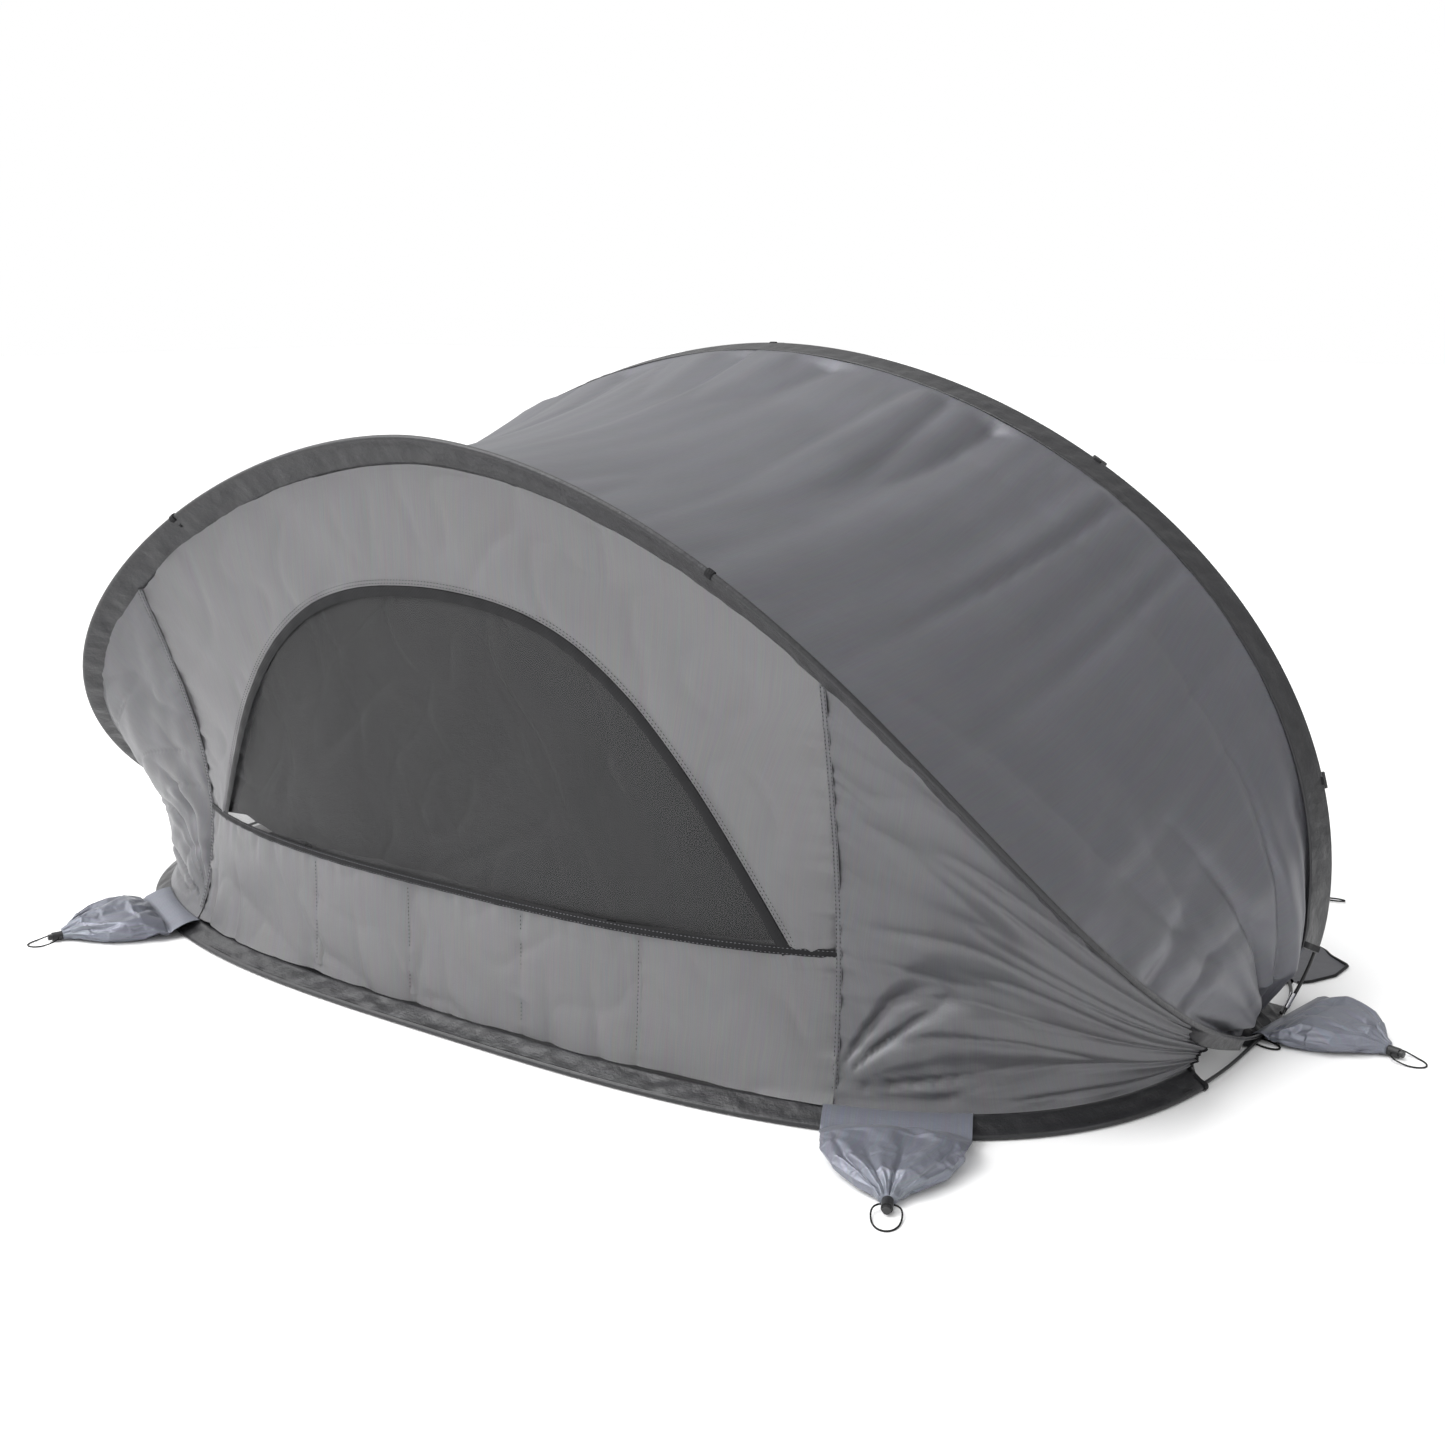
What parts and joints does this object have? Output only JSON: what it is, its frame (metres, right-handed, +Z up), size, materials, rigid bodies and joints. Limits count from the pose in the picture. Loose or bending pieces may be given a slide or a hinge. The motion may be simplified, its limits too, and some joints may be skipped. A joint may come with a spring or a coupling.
{
  "type": "beach tent",
  "caption": "Low pop-up beach shelter on two sprung hoops, open at the front, with a rear window, sandbags and a fold-out front panel.",
  "frame": {"origin": "On the ground, midway between the two corners where the hoops meet, at the floor's underside.", "axes": "+X across the width, +Y towards the closed rear wall, +Z up; the opening faces -Y."},
  "size_m": [2.6787, 2.4001, 1.0619],
  "materials": {
    "rod": "pultruded fibreglass, black",
    "sleeve_fabric": "dark grey polyester taffeta",
    "canopy_fabric": "silver-coated polyester, light blue-grey",
    "wall_fabric": "polyester taffeta, mid grey",
    "mesh": "dark insect mesh over a grey inner cover",
    "cover_fabric": "thin dark grey polyester",
    "webbing": "black polyester webbing",
    "floor_sheet": "coated polyethylene ground sheet",
    "panel_fabric": "polyester taffeta",
    "sandbag_fabric": "silver-coated polyester",
    "drawcord": "round black elastic cord",
    "ferrule_metal": "plain crimped tube",
    "lock_plastic": "black acetal",
    "button_plastic": "black acetal",
    "spring_steel": "bright spring wire"
  },
  "bodies": {
    "root": {"floor": "floor_sheet", "front_apron": "floor_sheet", "rear_ground_rod": "rod", "front_ground_rod": "rod", "rear_ground_sleeve": "sleeve_fabric", "front_ground_sleeve": "sleeve_fabric", "corner_gusset_left": "webbing", "corner_gusset_right": "webbing", "peg_loops": "webbing", "rear_panel": "wall_fabric", "lower_rear_panel": "wall_fabric", "side_panel_left": "canopy_fabric", "side_panel_right": "canopy_fabric", "window_mesh": "mesh", "window_sill_tape": "webbing", "side_seam_tapes": "webbing", "inner_pocket": "wall_fabric"},
    "window_sill": {"window_ties": "webbing"},
    "front_arch": {"front_arch_rod": "rod", "front_arch_sleeve": "sleeve_fabric", "rod_ferrules": "ferrule_metal", "front_arch_bands": "webbing", "front_arch_toggles": "lock_plastic", "canopy": "canopy_fabric"},
    "rear_arch": {"rear_arch_rod": "rod", "rear_arch_sleeve": "sleeve_fabric", "rear_arch_bands": "webbing"},
    "front_panel": {"front_panel": "panel_fabric", "front_panel_loops": "webbing"},
    "window_cover": {"window_cover": "cover_fabric"},
    "sandbag_front_left": {"sandbag_front_left": "sandbag_fabric"},
    "cord_lock_front_left": {"cord_lock_front_left": "lock_plastic", "cord_lock_spring_front_left": "spring_steel", "drawcord_front_left": "drawcord"},
    "cord_lock_button_front_left": {"cord_lock_button_front_left": "button_plastic"},
    "sandbag_front_right": {"sandbag_front_right": "sandbag_fabric"},
    "cord_lock_front_right": {"cord_lock_front_right": "lock_plastic", "cord_lock_spring_front_right": "spring_steel", "drawcord_front_right": "drawcord"},
    "cord_lock_button_front_right": {"cord_lock_button_front_right": "button_plastic"},
    "sandbag_rear_left": {"sandbag_rear_left": "sandbag_fabric"},
    "cord_lock_rear_left": {"cord_lock_rear_left": "lock_plastic", "cord_lock_spring_rear_left": "spring_steel", "drawcord_rear_left": "drawcord"},
    "cord_lock_button_rear_left": {"cord_lock_button_rear_left": "button_plastic"},
    "sandbag_rear_right": {"sandbag_rear_right": "sandbag_fabric"},
    "cord_lock_rear_right": {"cord_lock_rear_right": "lock_plastic", "cord_lock_spring_rear_right": "spring_steel", "drawcord_rear_right": "drawcord"},
    "cord_lock_button_rear_right": {"cord_lock_button_rear_right": "button_plastic"}
  },
  "joints": [
    {"name": "front_arch_fold", "type": "hinge", "parent": "root", "child": "front_arch", "pos_m": [0, 0, 0.008], "axis": [-1, 0, 0], "range_deg": [0, 88], "stiffness_Nm_per_rad": 12, "springref_deg": -34.38, "deforming": ["rear_arch_rod", "rear_arch_sleeve", "rear_arch_bands", "canopy", "rear_panel", "lower_rear_panel", "side_panel_left", "side_panel_right", "window_mesh", "window_sill_tape", "side_seam_tapes", "inner_pocket"]},
    {"name": "rear_arch_fold", "type": "hinge", "parent": "root", "child": "rear_arch", "pos_m": [0, 0, 0.008], "axis": [-1, 0, 0], "range_deg": [0, 44], "stiffness_Nm_per_rad": 5, "springref_deg": -28.65, "deforming": ["rear_arch_rod", "rear_arch_sleeve", "rear_arch_bands", "canopy", "rear_panel", "lower_rear_panel", "side_panel_left", "side_panel_right", "window_mesh", "window_sill_tape", "side_seam_tapes", "inner_pocket"]},
    {"name": "front_panel_fold", "type": "hinge", "parent": "root", "child": "front_panel", "pos_m": [0, -0.408, 0.0006], "axis": [-1, 0, 0], "range_deg": [0, 98]},
    {"name": "window_sill_fold", "type": "hinge", "parent": "root", "child": "window_sill", "pos_m": [0, 0.6075, 0.119], "axis": [-1, 0, 0], "range_deg": [0, 84.5], "deforming": ["rear_arch_rod", "rear_arch_sleeve", "rear_arch_bands", "canopy", "rear_panel", "lower_rear_panel", "side_panel_left", "side_panel_right", "window_mesh", "window_sill_tape", "side_seam_tapes", "inner_pocket"]},
    {"name": "window_cover_fold", "type": "hinge", "parent": "window_sill", "child": "window_cover", "pos_m": [0, 0.6994, 0.238], "axis": [1, 0, 0], "range_deg": [0, 116]},
    {"name": "sandbag_front_left_fold", "type": "hinge", "parent": "root", "child": "sandbag_front_left", "pos_m": [1.128, -0.014, 0.001], "axis": [0.2241, -0.9746, 0], "range_deg": [0, 20]},
    {"name": "cord_lock_front_left_slide", "type": "slide", "parent": "sandbag_front_left", "child": "cord_lock_front_left", "axis": [0.9746, 0.2241, 0], "range_m": [0, 0.04]},
    {"name": "cord_lock_button_front_left_press", "type": "slide", "parent": "cord_lock_front_left", "child": "cord_lock_button_front_left", "axis": [-0.9746, -0.2241, 0], "range_m": [0, 0.004], "stiffness_N_per_m": 300, "springref_m": -0.004, "deforming": ["cord_lock_spring_front_left"]},
    {"name": "sandbag_front_right_fold", "type": "hinge", "parent": "root", "child": "sandbag_front_right", "pos_m": [-1.128, -0.014, 0.001], "axis": [0.2241, 0.9746, 0], "range_deg": [0, 20]},
    {"name": "cord_lock_front_right_slide", "type": "slide", "parent": "sandbag_front_right", "child": "cord_lock_front_right", "axis": [-0.9746, 0.2241, 0], "range_m": [0, 0.04]},
    {"name": "cord_lock_button_front_right_press", "type": "slide", "parent": "cord_lock_front_right", "child": "cord_lock_button_front_right", "axis": [0.9746, -0.2241, 0], "range_m": [0, 0.004], "stiffness_N_per_m": 300, "springref_m": -0.004, "deforming": ["cord_lock_spring_front_right"]},
    {"name": "sandbag_rear_left_fold", "type": "hinge", "parent": "root", "child": "sandbag_rear_left", "pos_m": [0.778, 0.693, 0.001], "axis": [0.908, -0.4191, 0], "range_deg": [0, 56]},
    {"name": "cord_lock_rear_left_slide", "type": "slide", "parent": "sandbag_rear_left", "child": "cord_lock_rear_left", "axis": [0.4191, 0.908, 0], "range_m": [0, 0.04]},
    {"name": "cord_lock_button_rear_left_press", "type": "slide", "parent": "cord_lock_rear_left", "child": "cord_lock_button_rear_left", "axis": [-0.4191, -0.908, 0], "range_m": [0, 0.004], "stiffness_N_per_m": 300, "springref_m": -0.004, "deforming": ["cord_lock_spring_rear_left"]},
    {"name": "sandbag_rear_right_fold", "type": "hinge", "parent": "root", "child": "sandbag_rear_right", "pos_m": [-0.778, 0.693, 0.001], "axis": [0.908, 0.4191, 0], "range_deg": [0, 56]},
    {"name": "cord_lock_rear_right_slide", "type": "slide", "parent": "sandbag_rear_right", "child": "cord_lock_rear_right", "axis": [-0.4191, 0.908, 0], "range_m": [0, 0.04]},
    {"name": "cord_lock_button_rear_right_press", "type": "slide", "parent": "cord_lock_rear_right", "child": "cord_lock_button_rear_right", "axis": [0.4191, -0.908, 0], "range_m": [0, 0.004], "stiffness_N_per_m": 300, "springref_m": -0.004, "deforming": ["cord_lock_spring_rear_right"]}
  ],
  "couplings": [
    {"joint": "rear_arch_fold", "follows": "front_arch_fold", "ratio": 0.4916},
    {"joint": "window_sill_fold", "follows": "front_arch_fold", "ratio": 0.9545}
  ]
}
